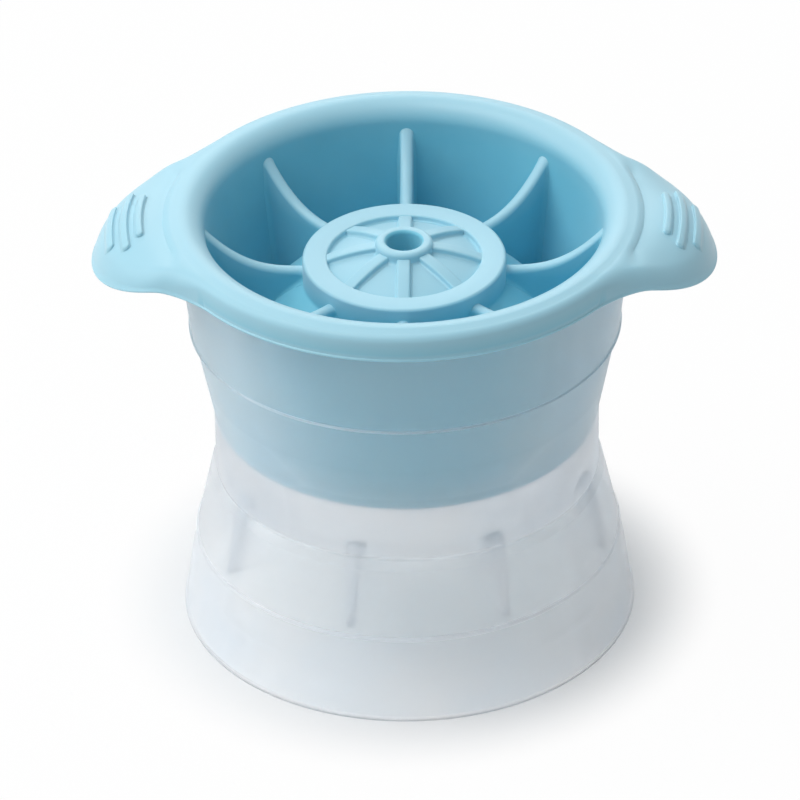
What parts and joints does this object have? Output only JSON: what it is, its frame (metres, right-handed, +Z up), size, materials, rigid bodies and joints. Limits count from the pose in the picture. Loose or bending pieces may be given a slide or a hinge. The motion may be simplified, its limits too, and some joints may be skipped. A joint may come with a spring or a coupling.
{
  "type": "ice ball mould",
  "caption": "Ice ball mould: a soft cap with ribbed recess, filling spout and grip ears plugs into a frosted base cup with a flared skirt.",
  "frame": {"origin": "on the axis of the ball, at the underside of the foot", "axes": "+Z up along the ball's axis and the filling hole, +X along the line through both ears"},
  "size_m": [0.1116, 0.086, 0.0827],
  "materials": {
    "frosted_base": "frosted, milky translucent",
    "silicone": "matte light blue silicone"
  },
  "bodies": {
    "base": {"base_cup": "frosted_base"},
    "cap": {"silicone_cap": "silicone"}
  },
  "joints": [
    {"name": "cap_lift", "type": "slide", "parent": "base", "child": "cap", "axis": [0, 0, 1], "range_m": [0, 0.045]}
  ]
}
